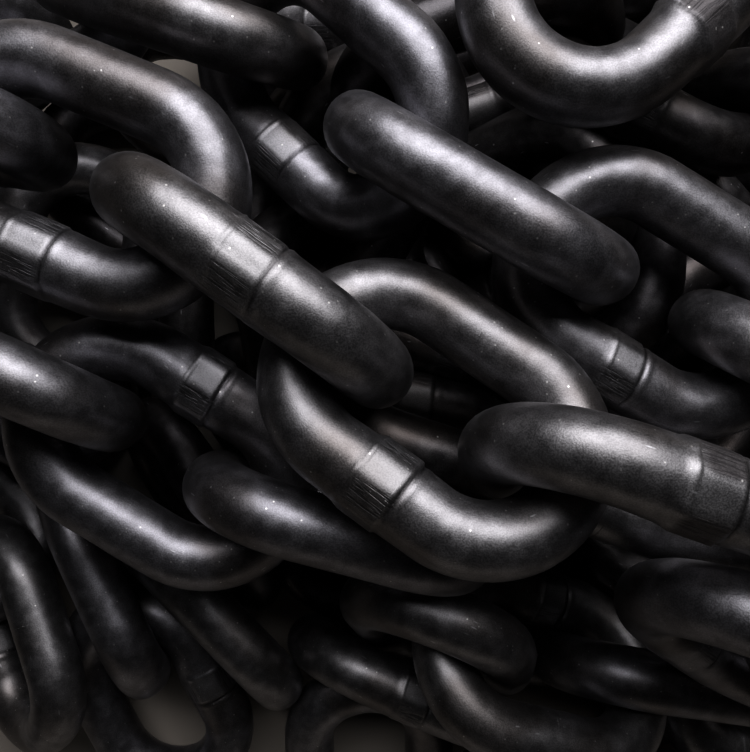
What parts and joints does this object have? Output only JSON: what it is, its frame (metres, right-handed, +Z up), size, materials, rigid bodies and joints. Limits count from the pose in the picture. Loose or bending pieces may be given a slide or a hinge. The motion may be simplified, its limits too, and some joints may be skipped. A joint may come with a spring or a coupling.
{
  "type": "heap of lifting chain",
  "caption": "Loose heap of welded short-link steel lifting chain, piled on the floor as it was dropped, with its end link lying open on top.",
  "frame": {"origin": "middle of the core's flat underside, on the floor under the middle of the heap", "axes": "+Z up; +Y towards the top of the picture, which looks straight down on the heap"},
  "size_m": [0.2641, 0.247, 0.087],
  "materials": {
    "links": "satin black heat-treated alloy steel, lightly oiled, with fine dust, handling nicks and brighter weld collars",
    "inner_links": "the same black steel in the deep shade inside the heap"
  },
  "bodies": {
    "root": {"core": "inner_links", "link_ridge_1": "links", "link_ridge_2": "links", "link_ridge_3": "links", "link_ridge_4": "links", "link_ridge_5": "links", "link_ridge_6": "links", "link_ridge_7": "links", "link_ridge_8": "links", "link_rear_1": "links", "link_rear_2": "links", "link_rear_3": "links", "link_rear_4": "links", "link_rear_5": "links", "link_rear_6": "links", "link_rear_7": "links", "link_rear_8": "links", "link_tail_1": "links", "link_tail_2": "links", "link_tail_3": "links", "link_front_1": "links", "link_front_2": "links", "link_front_3": "links", "link_front_4": "links", "link_front_5": "links", "link_spur_1": "links", "link_spur_2": "links", "link_spur_3": "links", "link_apron_1": "links", "link_apron_2": "links", "link_apron_3": "links", "link_apron_4": "links", "link_apron_5": "links", "link_apron_6": "links", "link_apron_7": "links", "link_apron_8": "links", "link_rim_1": "links", "link_rim_2": "links", "link_rim_3": "links", "link_rim_4": "links", "link_rim_5": "links", "link_rim_6": "links", "link_rim_7": "links", "link_rim_8": "links", "link_rim_9": "links", "link_rim_10": "links", "link_rim_11": "links", "link_rim_12": "links", "link_left_1": "links", "link_left_2": "links", "link_left_3": "links", "link_left_4": "links", "link_under_1": "links", "link_under_2": "links", "link_under_3": "links", "link_under_4": "links", "link_under_5": "links", "link_under_6": "links", "link_under_7": "links", "link_under_8": "links"}
  },
  "joints": []
}
